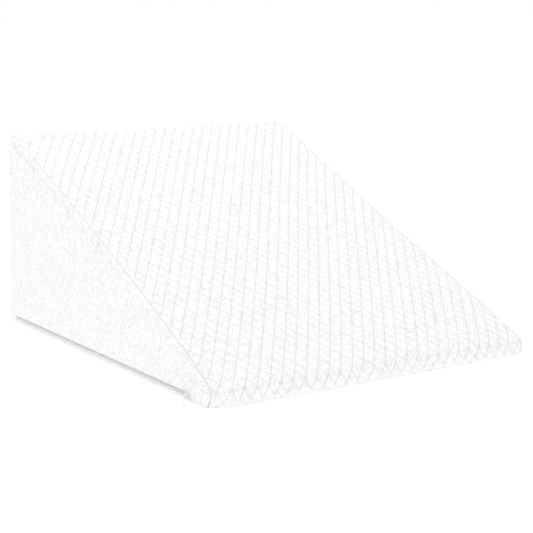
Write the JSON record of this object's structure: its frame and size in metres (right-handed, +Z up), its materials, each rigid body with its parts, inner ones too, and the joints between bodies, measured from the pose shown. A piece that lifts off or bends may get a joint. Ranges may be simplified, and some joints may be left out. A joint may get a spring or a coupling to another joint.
{
  "type": "wedge pillow",
  "caption": "White foam wedge pillow in a diamond-patterned knit cover that zips along a lower side edge, made to prop up the back or the legs.",
  "frame": {"origin": "on the floor under the middle of the part's box, zip pull included", "axes": "-Y towards the thin front lip, +Y towards the tall back, -X towards the side with the zip, +Z up"},
  "size_m": [0.6174, 0.706, 0.3349],
  "materials": {
    "cover_knit": "soft white double knit with a sunken diamond pattern",
    "zip_tape": "plain woven white tape",
    "zip_nylon": "white nylon, low gloss",
    "zip_enamel": "white enamel, satin"
  },
  "bodies": {
    "root": {"pillow": "cover_knit", "zip_tape": "zip_tape", "zip_coil": "zip_nylon", "zip_slider": "zip_enamel", "zip_pull": "zip_enamel"}
  },
  "joints": []
}
